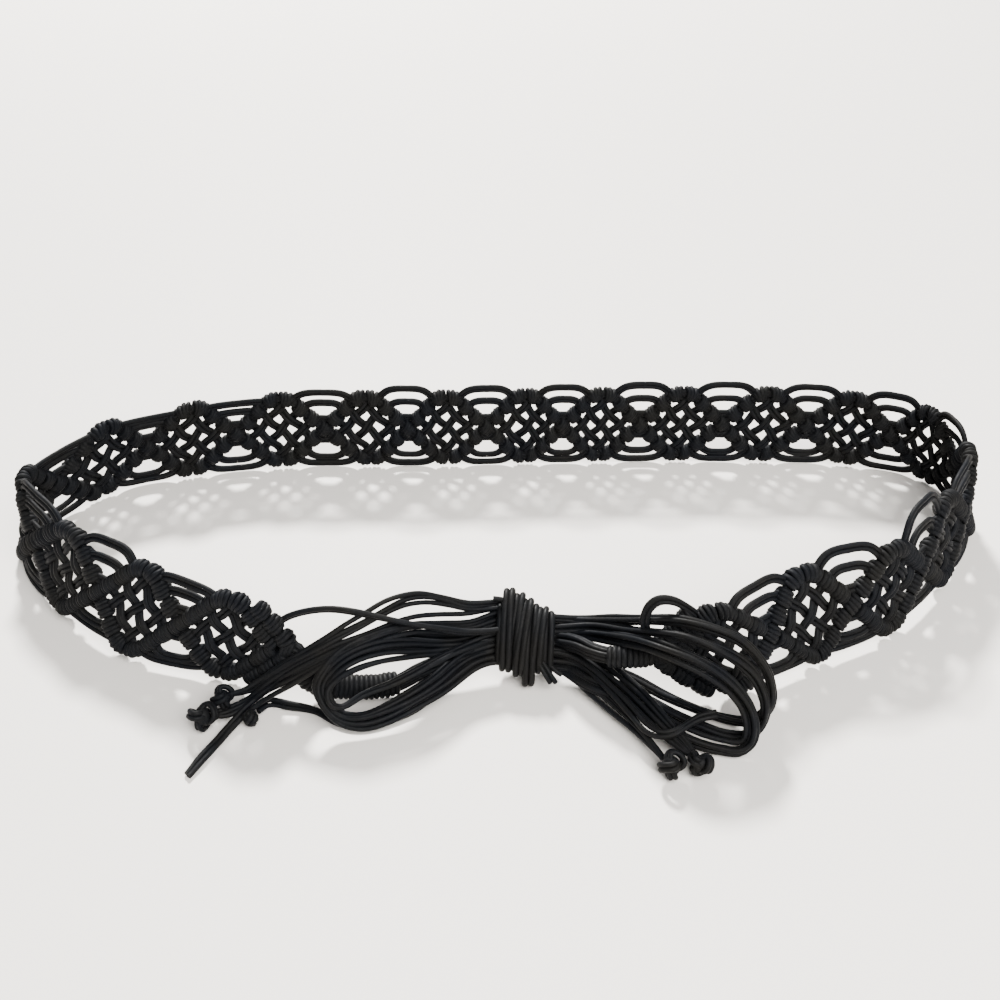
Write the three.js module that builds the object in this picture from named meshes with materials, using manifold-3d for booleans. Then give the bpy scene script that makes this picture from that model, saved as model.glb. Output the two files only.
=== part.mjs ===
// A macrame belt of waxed black cord, standing on its lower edge in an open oval.
// The pierced band is a row of knotted diamonds. Its long ties are folded into a bow and bound in the middle.
// Millimetres, +Z up, -Y is the front. The origin is on the floor, in the middle of the band's outline.

import * as THREE from "three";
import { mergeVertices } from "three/addons/utils/BufferGeometryUtils.js";
import Module from "manifold-3d";

const wasm = await Module();
wasm.setup();

// Driving sizes
const LOOP_WIDTH = 480; // the band's loop, left to right, at the middle of the band
const LOOP_DEPTH = 178; // and front to back
const BAND_WIDTH = 52; // from the lower edge to the upper, over the arcs
const CORD = 2.1; // one cord
const GAP = 0.3; // kept between pieces that touch
const RIDGE_WIDTH = 7; // a row of knots round a holding cord
const RIDGE_THICK = 6.4;
const RIDGE_BEVEL = 1.2;
const APEX_INSET = 6.4; // from the band's edge to the middle of the ridge at a diamond's top
const APEX_TURN = [8.5, 4.2]; // along and down from there to where the ridge runs straight
const ARC_REACH = 14; // how far an outer arc runs before the crossing
const INNER_ARC = 12.3; // height of the innermost arc above the band's middle
const INNER_REACH = 9;
const TIP_LENGTH = 8.2; // how far an end's second ridge passes the last crossing
const HANK_LENGTH = 24; // the bound middle of the bow, along the belt
const HANK_HALF = [15.6, 4.4]; // half its height and half its depth, in its own tilted plane
const HANK_TILT = 45; // degrees that the bow leans back
const HANK_CENTRE = [11.5, -70.5, 16];
const BINDING = 2 * CORD; // thickness of the turns that bind it
const LOBE_RADIUS = 4.5;
const GATHER_RADIUS = 2.3;
const TAIL_RADIUS = 2.1;
const STRAND_RADIUS = CORD * 0.72; // two cords side by side, drawn as one round tube
const WRAP_RADIUS = 4.5; // the wrapped barrel on each end's gathered ties
const SECTION_SIDES = 8;
const STRAIGHT = 3; // each bundle leaves the bound middle straight for this far

const PAIR = 2 * CORD; // two cords side by side
const RADIANS = Math.PI / 180;

// The loop's middle line, seen from above, one row for each diamond between a row for each end.
// across and back are shares of half the loop's width and depth, inward and along are the degrees by
// which the band's top leans into the loop and slants towards the right end.
const STATIONS = [
  { across: -0.309, back: -0.991, inward: 13, along: -6 },
  { across: -0.491, back: -0.87, inward: 8.5, along: -11 },
  { across: -0.674, back: -0.664, inward: 24, along: -9.5 },
  { across: -0.84, back: -0.369, inward: 19, along: -8 },
  { across: -0.983, back: 0.101, inward: 13, along: 8 },
  { across: -0.875, back: 0.607, inward: 10, along: 12 },
  { across: -0.698, back: 0.815, inward: 4, along: 9 },
  { across: -0.504, back: 0.921, inward: 0, along: 4 },
  { across: -0.304, back: 0.938, inward: 0, along: 0 },
  { across: -0.122, back: 0.944, inward: 0, along: 0 },
  { across: 0.058, back: 0.966, inward: 0, along: 0 },
  { across: 0.232, back: 0.978, inward: 0, along: 0 },
  { across: 0.417, back: 0.989, inward: 0, along: 0 },
  { across: 0.61, back: 0.983, inward: 0, along: 0 },
  { across: 0.802, back: 0.938, inward: 3, along: -3 },
  { across: 0.963, back: 0.764, inward: 8, along: -7 },
  { across: 0.996, back: 0.315, inward: 12, along: -8 },
  { across: 0.889, back: -0.134, inward: 13.5, along: -3 },
  { across: 0.74, back: -0.528, inward: 12.5, along: 0.5 },
  { across: 0.57, back: -0.707, inward: 23.5, along: 6.5 },
  { across: 0.403, back: -0.955, inward: 12, along: 17 },
  { across: 0.207, back: -1, inward: 10, along: 7 },
];
const LAST = STATIONS.length - 1;

// The ties' routes. Each starts where the solid before it ends.
const LEFT_LOBE = [
  [-17, -68, 25],
  [-34, -75, 30],
  [-49, -84, 32],
  [-63, -92, 29],
  [-74, -97, 23],
  [-79, -102, 16],
  [-76, -107, 10],
  [-65, -109, 6.5],
  [-49, -104, 6.5],
  [-30, -94, 7.5],
  [-13, -83.5, 8.5],
];
const RIGHT_LOBE = [
  [40, -77, 30],
  [55, -91, 38.5],
  [70, -99, 40],
  [84, -102.5, 37],
  [98, -105, 29],
  [107, -109, 19],
  [109, -116, 10.5],
  [101, -121, 5.5],
  [87, -117, 5.5],
  [67, -106, 7],
  [47, -92, 8.5],
];
const LEFT_GATHER = [
  [-87.9, -85, 25.8],
  [-86.4, -85.4, 25.5],
  [-85, -86.6, 21.8],
  [-84.6, -87.9, 17.6],
];
const LEFT_WRAP = [
  [-84.3, -88.4, 16.6],
  [-83.2, -88.8, 13.4],
  [-78, -89.3, 9.2],
  [-70, -89.5, 7.6],
  [-60, -89.5, 7.2],
  [-52, -89, 7.2],
  [-44.4, -87.7, 8],
];
const LEFT_LEAD = [
  [-43.6, -87.4, 8.1],
  [-35, -83.5, 10],
  [-17, -76.5, 13.3],
];
const RIGHT_LEAD = [
  [34, -78.5, 19],
  [40, -83.6, 20.8],
  [45.5, -86.3, 22.7],
];
const RIGHT_WRAP = [
  [46, -86.5, 22.9],
  [54, -88.6, 24.8],
  [64.3, -88.8, 26],
];
const LEFT_TAILS = [
  [-15, -62, 32],
  [-30, -66.5, 37],
  [-47, -75.5, 39],
  [-63, -84, 37],
  [-76, -90, 32],
  [-86, -92, 25],
  [-103, -93.5, 11],
  [-113, -95, 4.5],
  [-120.2, -100.2, 4.4],
];
const LEFT_BARE_END = [
  [-104.3, -97.1, 8.9],
  [-109, -101.5, 5],
  [-113.5, -109, 2.2],
  [-121, -124, 2],
  [-126, -132, 2],
];
const LEFT_STRAND = [
  [-90.6, -79, 38.9],
  [-85, -79, 41.4],
  [-77, -79.3, 43.4],
  [-69, -80.3, 44.6],
  [-61, -81.3, 44.4],
  [-53, -81.2, 42.2],
  [-40.5, -80.8, 38.2],
  [-27.7, -78.6, 33],
  [-15.2, -74.8, 26.4],
  [-6.5, -72.8, 24.6],
  [-0.8, -71.4, 24.2],
];
const RIGHT_TAIL_1 = [
  [34, -88, 5],
  [46, -99, 4.5],
  [58, -110, 4],
  [65, -118, 4],
  [66.6, -124, 4.6],
];
const RIGHT_TAIL_2 = [
  [66, -112.1, 6],
  [74, -117.5, 5],
  [78.5, -121.5, 5],
  [79.6, -124.4, 4.9],
];
const RIGHT_BARE_END = [
  [46, -90, 14.4],
  [56, -98, 14],
  [66, -105, 13.2],
  [76, -109.5, 12.4],
  [87, -112, 12.6],
];
const KNOTS = [
  { name: "left_knot_1", at: [-124.5, -104, 5.7], half: [5.4, 5, 5.4] },
  { name: "left_knot_2", at: [-117, -95.5, 10], half: [3.6, 3.3, 3.4] },
  { name: "left_knot_3", at: [-105, -104.5, 3.9], half: [3.6, 3.4, 3.6] },
  { name: "right_knot_1", at: [67, -129, 4.8], half: [4.6, 4.6, 4.6] },
  { name: "right_knot_2", at: [80, -129.4, 4.8], half: [4.6, 4.6, 4.6] },
];

// A geometry as a solid that can be joined and cut, and back.
function toSolid(geometry) {
  const bare = geometry.index ? geometry.toNonIndexed() : geometry.clone();
  bare.deleteAttribute("normal");
  bare.deleteAttribute("uv");
  const merged = mergeVertices(bare, 1e-4);
  return new wasm.Manifold(
    new wasm.Mesh({
      numProp: 3,
      vertProperties: merged.attributes.position.array,
      triVerts: new Uint32Array(merged.index.array),
    }),
  );
}

function toGeometry(solid) {
  const mesh = solid.getMesh();
  const geometry = new THREE.BufferGeometry();
  const points = Float32Array.from(mesh.vertProperties);
  geometry.setAttribute("position", new THREE.BufferAttribute(points, 3));
  geometry.setIndex(new THREE.BufferAttribute(Uint32Array.from(mesh.triVerts), 1));
  return geometry;
}

// The frame of the band at a station: a smooth line through the rows of the table.
const middleLine = new THREE.CatmullRomCurve3(
  STATIONS.map(
    (row) =>
      new THREE.Vector3((row.across * LOOP_WIDTH) / 2, (row.back * LOOP_DEPTH) / 2, 0),
  ),
  false,
  "catmullrom",
  0.5,
);
const leanLine = new THREE.CatmullRomCurve3(
  STATIONS.map((row) => new THREE.Vector3(row.inward, row.along, 0)),
  false,
  "catmullrom",
  0.5,
);
middleLine.arcLengthDivisions = 40 * LAST;
const PITCH = middleLine.getLength() / LAST; // length of one diamond along the band
const UP = new THREE.Vector3(0, 0, 1);

// Where a point of the flat pattern lies on the standing band: s runs along the band from the middle of
// diamond number station, w up from its middle line, and t through it towards the inside of the loop.
function onBand(station, s, w, t) {
  const at = (station + s / PITCH) / LAST;
  const lean = leanLine.getPoint(at);
  const middle = middleLine.getPoint(at);
  const forward = middleLine.getTangent(at);
  const inward = new THREE.Vector3().crossVectors(forward, UP);
  const rise = UP.clone().multiplyScalar(Math.cos(lean.x * RADIANS));
  rise.addScaledVector(inward, Math.sin(lean.x * RADIANS));
  const through = new THREE.Vector3().crossVectors(forward, rise);
  const tipped = CORD * Math.abs(Math.sin(lean.x * RADIANS));
  const lift = (BAND_WIDTH / 2) * Math.cos(lean.x * RADIANS) + tipped;
  middle.addScaledVector(UP, lift);
  middle.addScaledVector(rise, w);
  middle.addScaledVector(forward, w * Math.tan(lean.y * RADIANS));
  return middle.addScaledVector(through, t);
}

function bend(solid, station) {
  const geometry = toGeometry(solid);
  const position = geometry.attributes.position;
  for (let i = 0; i < position.count; i++) {
    const point = onBand(station, position.getX(i), position.getY(i), position.getZ(i));
    position.setXYZ(i, point.x, point.y, point.z);
  }
  return geometry;
}

// The points of a line in the flat pattern, moved sideways by distance, with mitred corners.
function offset(points, distance, closed) {
  const count = points.length;
  return points.map((point, i) => {
    const before = points[closed ? (i + count - 1) % count : Math.max(i - 1, 0)];
    const after = points[closed ? (i + 1) % count : Math.min(i + 1, count - 1)];
    const into = new THREE.Vector2().subVectors(point, before).normalize();
    const out = new THREE.Vector2().subVectors(after, point).normalize();
    const first = into.lengthSq() ? into : out;
    const second = out.lengthSq() ? out : into;
    const side = new THREE.Vector2(-first.y - second.y, first.x + second.x).normalize();
    const spread = distance / (side.x * -first.y + side.y * first.x);
    return point.clone().addScaledVector(side, spread);
  });
}

function slab(shape, thickness, bevel = 0) {
  const geometry = new THREE.ExtrudeGeometry(shape, {
    depth: thickness - 2 * bevel,
    bevelEnabled: bevel > 0,
    bevelThickness: bevel,
    bevelSize: bevel,
    bevelOffset: -bevel,
    bevelSegments: 1,
  });
  return toSolid(geometry.translate(0, 0, bevel - thickness / 2));
}

// A flat strip of one width along a line.
function strip(points, width, thickness, bevel = 0) {
  const edge = offset(points, width / 2, false);
  const other = offset(points, -width / 2, false).reverse();
  return slab(new THREE.Shape([...edge, ...other]), thickness, bevel);
}

const joined = (solids) => solids.reduce((all, solid) => all.add(solid));
const vector = (x, y) => new THREE.Vector2(x, y);

const APEX = BAND_WIDTH / 2 - APEX_INSET; // height of the ridge's middle at a diamond's top

// The middle of the ridge round one diamond, counter-clockwise from the right-hand crossing.
const [turnAlong, turnHeight] = [APEX_TURN[0], APEX - APEX_TURN[1]];
const ridgeLoop = [
  vector(PITCH / 2, 0),
  vector(turnAlong, turnHeight),
  vector(0, APEX),
  vector(-turnAlong, turnHeight),
  vector(-PITCH / 2, 0),
  vector(-turnAlong, -turnHeight),
  vector(0, -APEX),
  vector(turnAlong, -turnHeight),
];

function ridgeFrame() {
  const frame = new THREE.Shape(offset(ridgeLoop, -RIDGE_WIDTH / 2, true));
  frame.holes.push(new THREE.Path(offset(ridgeLoop, RIDGE_WIDTH / 2, true).reverse()));
  return slab(frame, RIDGE_THICK, RIDGE_BEVEL);
}

// The woven field inside a diamond, cut through at the four inner openings of the weave.
function lattice() {
  const cell = { rise: vector(PITCH / 8, APEX / 4), fall: vector(PITCH / 8, -APEX / 4) };
  const spacing = (2 * Math.abs(cell.rise.cross(cell.fall))) / (2 * cell.rise.length());
  const open = 1 - PAIR / spacing;
  const field = new THREE.Shape(ridgeLoop.map((p) => p.clone()));
  for (const [i, j] of [[1, 1], [1, 2], [2, 1], [2, 2]]) {
    const corner = (a, b) =>
      vector(-PITCH / 2, 0)
        .addScaledVector(cell.rise, i + 0.5 + (a * open) / 2)
        .addScaledVector(cell.fall, j + 0.5 + (b * open) / 2);
    field.holes.push(new THREE.Path([corner(-1, -1), corner(-1, 1), corner(1, 1), corner(1, -1)]));
  }
  return slab(field, PAIR);
}

// The cords that bridge a crossing above and below it, as far as the middle of the crossing.
function arcs(side) {
  const top = (BAND_WIDTH - PAIR) / 2;
  const past = PITCH / 2 + 1;
  const outer = [
    vector(PITCH / 2 - ARC_REACH, turnHeight),
    vector(PITCH / 2 - ARC_REACH / 2, top),
    vector(past, top),
  ];
  const inner = [
    vector(PITCH / 2 - INNER_REACH, INNER_ARC * 0.78),
    vector(PITCH / 2 - INNER_REACH / 2, INNER_ARC),
    vector(past, INNER_ARC),
  ];
  const placed = (points, up) => points.map((p) => vector(p.x * side, p.y * up));
  const middle = new THREE.Shape([...placed(inner, 1), ...placed(inner, -1).reverse()]);
  const outers = [1, -1].map((up) => strip(placed(outer, up), PAIR, CORD));
  return joined([...outers, slab(middle, CORD)]);
}

// One diamond, from the middle of one crossing to the middle of the next. An end has no arcs beyond it.
function diamond(endSide) {
  const sides = [-1, 1].filter((side) => side !== endSide);
  const whole = joined([ridgeFrame(), lattice(), ...sides.map(arcs)]);
  const reach = PITCH / 2 - GAP / 2;
  const from = endSide === -1 ? -PITCH : -reach;
  const to = endSide === 1 ? PITCH : reach;
  const room = new THREE.BoxGeometry(to - from, 2 * BAND_WIDTH, BAND_WIDTH);
  return whole.intersect(toSolid(room.translate((from + to) / 2, 0, 0)));
}

// The second row of knots that closes an end of the band, blunt where the ties leave it.
function endRidges(side) {
  const line = [6, 7, 0, 1, 2].map((i) => ridgeLoop[i]);
  const away = offset(line, -RIDGE_WIDTH - GAP, false).slice(1, -1);
  const chevron = strip(away, RIDGE_WIDTH, RIDGE_THICK, RIDGE_BEVEL);
  const reach = PITCH / 2 + TIP_LENGTH;
  const room = new THREE.BoxGeometry(reach, 2 * BAND_WIDTH, BAND_WIDTH);
  const right = chevron.intersect(toSolid(room.translate(reach / 2, 0, 0)));
  return side > 0 ? right : right.rotate([0, 180, 0]);
}

// A round tube along a route.
function tube(route, radius, steps, sides = SECTION_SIDES) {
  const section = new THREE.Shape();
  for (let i = 0; i < sides; i++) {
    const angle = (2 * Math.PI * i) / sides;
    const point = [radius * Math.cos(angle), radius * Math.sin(angle)];
    if (i) section.lineTo(...point);
    else section.moveTo(...point);
  }
  const points = route.map((p) => new THREE.Vector3(...p));
  const extrudePath = new THREE.CatmullRomCurve3(points, false, "centripetal");
  return new THREE.ExtrudeGeometry(section, { steps, extrudePath });
}

// Two points straight out of one of the bound middle's end faces: side -1 or 1, up is measured in its
// tilted plane.
function hankFace(side, up) {
  const tilt = HANK_TILT * RADIANS;
  const [x, y, z] = HANK_CENTRE;
  const out = HANK_LENGTH / 2 + GAP;
  const point = (far) => [x + side * far, y + up * Math.sin(tilt), z + up * Math.cos(tilt)];
  return [point(out), point(out + STRAIGHT)];
}

// An upright oval, long in height, that the bow's middle and its binding are made from.
function oval(halfHeight, halfDepth) {
  return new THREE.Shape().absellipse(0, 0, halfDepth, halfHeight, 0, 2 * Math.PI);
}

function hankPiece(shape, length) {
  const curveSegments = 8;
  const geometry = new THREE.ExtrudeGeometry(shape, { depth: length, bevelEnabled: false, curveSegments });
  geometry.translate(0, 0, -length / 2);
  geometry.rotateY(Math.PI / 2);
  geometry.rotateX(Math.PI / 2 - HANK_TILT * RADIANS);
  return geometry.translate(...HANK_CENTRE);
}

const black = new THREE.Color(0.035, 0.035, 0.038);
const waxedCord = (roughness) => new THREE.MeshStandardMaterial({ color: black, roughness, metalness: 0 });

function mesh(name, geometry, roughness = 0.55) {
  const made = new THREE.Mesh(geometry, waxedCord(roughness));
  made.name = name;
  return made;
}

const belt = new THREE.Group();

const band = new THREE.Group();
for (let station = 1; station < LAST; station++) {
  const endSide = station === 1 ? -1 : station === LAST - 1 ? 1 : 0;
  const name = "band_diamond_" + String(station).padStart(2, "0");
  band.add(mesh(name, bend(diamond(endSide), station)));
}
band.add(mesh("left_end_ridges", bend(endRidges(-1), 1)));
band.add(mesh("right_end_ridges", bend(endRidges(1), LAST - 1)));
belt.add(band);

const bow = new THREE.Group();
const lobeUp = { left: 5.6, right: 8 };
const lobeDown = { left: -9.6, right: -7 };
const gatherUp = { left: -1.8, right: 0.6 };
const tailUp = { left: 12.7, right: -13.6 };
bow.add(mesh("hank_core", hankPiece(oval(...HANK_HALF), HANK_LENGTH), 0.5));
const ring = oval(HANK_HALF[0] + GAP + BINDING, HANK_HALF[1] + GAP + BINDING);
ring.holes.push(oval(HANK_HALF[0] + GAP, HANK_HALF[1] + GAP));
bow.add(mesh("hank_binding", hankPiece(ring, HANK_LENGTH - 2 * GAP), 0.5));
const loop = (side, up, route, down) => [...hankFace(side, up), ...route, ...hankFace(side, down).reverse()];
const leftLobe = loop(-1, lobeUp.left, LEFT_LOBE, lobeDown.left);
const rightLobe = loop(1, lobeUp.right, RIGHT_LOBE, lobeDown.right);
bow.add(mesh("hank_left_lobe", tube(leftLobe, LOBE_RADIUS, 22), 0.5));
bow.add(mesh("hank_right_lobe", tube(rightLobe, LOBE_RADIUS - 0.4, 22), 0.5));
belt.add(bow);

const ties = new THREE.Group();
const leftLead = [...LEFT_LEAD, ...hankFace(-1, gatherUp.left).reverse()];
const rightLead = [...hankFace(1, gatherUp.right), ...RIGHT_LEAD];
ties.add(mesh("left_tie_gather", tube(LEFT_GATHER, GATHER_RADIUS, 5), 0.5));
ties.add(mesh("left_tie_lead", tube(leftLead, GATHER_RADIUS, 9), 0.5));
ties.add(mesh("right_tie_lead", tube(rightLead, GATHER_RADIUS, 5), 0.5));
ties.add(mesh("left_tie_wrap", tube(LEFT_WRAP, WRAP_RADIUS, 8, 10), 0.5));
ties.add(mesh("right_tie_wrap", tube(RIGHT_WRAP, WRAP_RADIUS, 4, 10), 0.5));
ties.add(mesh("left_tails", tube([...hankFace(-1, tailUp.left), ...LEFT_TAILS], TAIL_RADIUS, 20), 0.5));
ties.add(mesh("left_bare_end", tube(LEFT_BARE_END, STRAND_RADIUS, 8), 0.5));
ties.add(mesh("left_tie_strand", tube(LEFT_STRAND, STRAND_RADIUS, 14), 0.5));
const rightTail = [...hankFace(1, tailUp.right), ...RIGHT_TAIL_1];
ties.add(mesh("right_tail_1", tube(rightTail, STRAND_RADIUS, 12), 0.5));
ties.add(mesh("right_tail_2", tube(RIGHT_TAIL_2, STRAND_RADIUS, 5), 0.5));
ties.add(mesh("right_bare_end", tube(RIGHT_BARE_END, STRAND_RADIUS, 8), 0.5));
for (const knot of KNOTS) {
  const ball = new THREE.IcosahedronGeometry(1, 1).scale(...knot.half);
  ties.add(mesh(knot.name, ball.translate(...knot.at), 0.5));
}
belt.add(ties);

const stand = new THREE.Box3().setFromObject(band, true).getCenter(new THREE.Vector3());
belt.position.set(-stand.x, -stand.y, 0);

export default belt;
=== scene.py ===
"""The looks of a black macrame belt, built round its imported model. Lengths below are in millimetres."""

import math

import bpy
import numpy as np
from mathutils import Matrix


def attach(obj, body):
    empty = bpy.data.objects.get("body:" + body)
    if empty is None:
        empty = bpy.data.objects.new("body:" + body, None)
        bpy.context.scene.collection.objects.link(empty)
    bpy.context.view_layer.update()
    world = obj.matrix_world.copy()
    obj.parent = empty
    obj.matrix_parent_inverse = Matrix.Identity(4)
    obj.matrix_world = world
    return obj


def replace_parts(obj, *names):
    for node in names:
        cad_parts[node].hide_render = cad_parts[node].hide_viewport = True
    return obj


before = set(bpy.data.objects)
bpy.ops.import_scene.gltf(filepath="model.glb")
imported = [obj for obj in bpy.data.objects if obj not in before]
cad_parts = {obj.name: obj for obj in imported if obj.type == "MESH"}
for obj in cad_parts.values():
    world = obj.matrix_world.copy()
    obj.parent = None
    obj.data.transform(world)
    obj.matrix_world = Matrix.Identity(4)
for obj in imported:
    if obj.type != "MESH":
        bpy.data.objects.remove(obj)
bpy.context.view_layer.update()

# Sizes repeated from the part
LOOP_WIDTH = 480.0
LOOP_DEPTH = 178.0
BAND_WIDTH = 52.0
CORD = 2.1
SLACK_CORD = 2.3  # the same cord where nothing pulls it tight
TIP_LENGTH = 8.2
HANK_LENGTH = 24.0
HANK_CENTRE = (11.5, -70.5, 16.0)
STAND = np.array([1.4427, -1.5264, 0.0])  # middle of the band's outline before it is centred
STATIONS = np.array([
    (-0.309, -0.991, 13, -6),
    (-0.491, -0.87, 8.5, -11),
    (-0.674, -0.664, 24, -9.5),
    (-0.84, -0.369, 19, -8),
    (-0.983, 0.101, 13, 8),
    (-0.875, 0.607, 10, 12),
    (-0.698, 0.815, 4, 9),
    (-0.504, 0.921, 0, 4),
    (-0.304, 0.938, 0, 0),
    (-0.122, 0.944, 0, 0),
    (0.058, 0.966, 0, 0),
    (0.232, 0.978, 0, 0),
    (0.417, 0.989, 0, 0),
    (0.61, 0.983, 0, 0),
    (0.802, 0.938, 3, -3),
    (0.963, 0.764, 8, -7),
    (0.996, 0.315, 12, -8),
    (0.889, -0.134, 13.5, -3),
    (0.74, -0.528, 12.5, 0.5),
    (0.57, -0.707, 23.5, 6.5),
    (0.403, -0.955, 12, 17),
    (0.207, -1, 10, 7),
])
LAST = len(STATIONS) - 1
RADIUS = CORD / 2
METRE = 0.001
STEP = 2.4  # between the points of a cord
WANDER = 0.42  # how far a slack cord strays from a smooth line
ABOVE_FLOOR = 0.05


def unit(v):
    return v / np.maximum(np.linalg.norm(v, axis=-1, keepdims=True), 1e-12)


def smooth_line(points, at, slope=False):
    """Uniform Catmull-Rom through points at shares 0 to 1 of the line, or its slope."""
    padded = np.vstack([2 * points[0] - points[1], points, 2 * points[-1] - points[-2]])
    x = np.clip(np.asarray(at, float), 0, 1) * (len(points) - 1)
    i = np.minimum(x.astype(int), len(points) - 2)
    u = (x - i)[..., None]
    a, b, c, d = (padded[i + k] for k in range(4))
    if slope:
        return (c - a) / 2 + (2 * a - 5 * b + 4 * c - d) * u + 1.5 * (3 * b - a - 3 * c + d) * u * u
    cubic = (2 * a - 5 * b + 4 * c - d) * u * u + (3 * b - a - 3 * c + d) * u**3
    return b + ((c - a) * u + cubic) / 2


MIDDLE = STATIONS[:, :2] * (LOOP_WIDTH / 2, LOOP_DEPTH / 2)
LEANS = np.radians(STATIONS[:, 2:])
fine_line = smooth_line(MIDDLE, np.linspace(0, 1, 4001))
PITCH = np.linalg.norm(np.diff(fine_line, axis=0), axis=1).sum() / LAST


def on_band(station, flat):
    """Flat pattern points (along, up, through) of one diamond, placed on the standing band."""
    s, w, t = flat[..., 0], flat[..., 1], flat[..., 2]
    at = (station + s / PITCH) / LAST
    middle = smooth_line(MIDDLE, at)
    forward = unit(smooth_line(MIDDLE, at, slope=True))
    lean = smooth_line(LEANS, at)
    zero = np.zeros_like(s)
    forward = np.stack([forward[..., 0], forward[..., 1], zero], -1)
    inward = np.stack([forward[..., 1], -forward[..., 0], zero], -1)
    up = np.array([0.0, 0.0, 1.0])
    cos, sin = np.cos(lean[..., :1]), np.sin(lean[..., :1])
    rise = up * cos + inward * sin
    through = np.cross(forward, rise)
    lift = BAND_WIDTH / 2 * cos + CORD * np.abs(sin)
    place = np.concatenate([middle, zero[..., None]], -1) + up * lift
    place += rise * w[..., None] + forward * (w[..., None] * np.tan(lean[..., 1:]))
    return place + through * t[..., None]


class Build:
    """Collects round tubes as one mesh."""

    def __init__(self):
        self.points, self.faces, self.count = [], [], 0

    def tubes(self, paths, radius=RADIUS, sides=7, closed=False, outward=None):
        """Tubes along paths (tubes, points, 3). outward, if given, sets where each section starts."""
        paths = np.asarray(paths, float)
        if closed:
            tangent = unit(np.roll(paths, -1, 1) - np.roll(paths, 1, 1))
        else:
            tangent = unit(np.gradient(paths, axis=1))
        number, length = paths.shape[:2]
        if outward is None:
            side = np.empty_like(paths)
            helper = np.where(np.abs(tangent[:, 0, 2:]) > 0.8, [[1.0, 0, 0]], [[0, 0, 1.0]])
            side[:, 0] = unit(np.cross(tangent[:, 0], helper))
            for i in range(1, length):
                carried = side[:, i - 1]
                along = (carried * tangent[:, i]).sum(-1, keepdims=True)
                side[:, i] = unit(carried - along * tangent[:, i])
        else:
            side = unit(outward - (outward * tangent).sum(-1, keepdims=True) * tangent)
        other = np.cross(tangent, side)
        turn = np.arange(sides) * 2 * math.pi / sides
        size = np.broadcast_to(np.asarray(radius, float), (number, length))[:, :, None, None]
        ring = np.cos(turn)[:, None] * side[:, :, None] + np.sin(turn)[:, None] * other[:, :, None]
        self.points.append((paths[:, :, None] + size * ring).reshape(-1, 3))
        index = self.count + np.arange(number * length * sides).reshape(number, length, sides)
        near = index if closed else index[:, :-1]
        far = np.roll(index, -1, 1) if closed else index[:, 1:]
        quads = [near, np.roll(near, -1, 2), np.roll(far, -1, 2), far]
        self.faces.append(np.stack(quads, -1).reshape(-1, 4))
        self.count += number * length * sides

    def piece(self, name, material, slot, move=None):
        points = np.concatenate(self.points)
        if move is not None:
            points = move(points)
        points = (points - STAND) * METRE
        faces = np.concatenate(self.faces)
        mesh = bpy.data.meshes.new(name)
        mesh.vertices.add(len(points))
        mesh.vertices.foreach_set("co", points.astype(np.float32).ravel())
        mesh.loops.add(faces.size)
        mesh.loops.foreach_set("vertex_index", faces.astype(np.int32).ravel())
        mesh.polygons.add(len(faces))
        mesh.polygons.foreach_set("loop_start", np.arange(0, faces.size, 4, dtype=np.int32))
        mesh.update(calc_edges=True)
        mesh.polygons.foreach_set("use_smooth", np.ones(len(faces), bool))
        mesh.materials.append(material)
        made = bpy.data.objects.new(name, mesh)
        bpy.context.scene.collection.objects.link(made)
        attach(made, "root")
        return made


# Camera
CAMERA_PLACE = np.array([0.0, -400.0, 349.0])
CAMERA_PITCH = 37.65  # degrees below level
camera = bpy.data.objects.new("camera", bpy.data.cameras.new("camera"))
camera.data.lens = 37.8
camera.data.sensor_width = 36.0
camera.location = [float(x) for x in (CAMERA_PLACE - STAND) * METRE]
camera.rotation_euler = (math.radians(90 - CAMERA_PITCH), 0, 0)
camera.data.clip_start = 0.01
bpy.context.scene.collection.objects.link(camera)
bpy.context.scene.camera = camera


def link(tree, start, end):
    tree.links.new(start, end)


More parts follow.
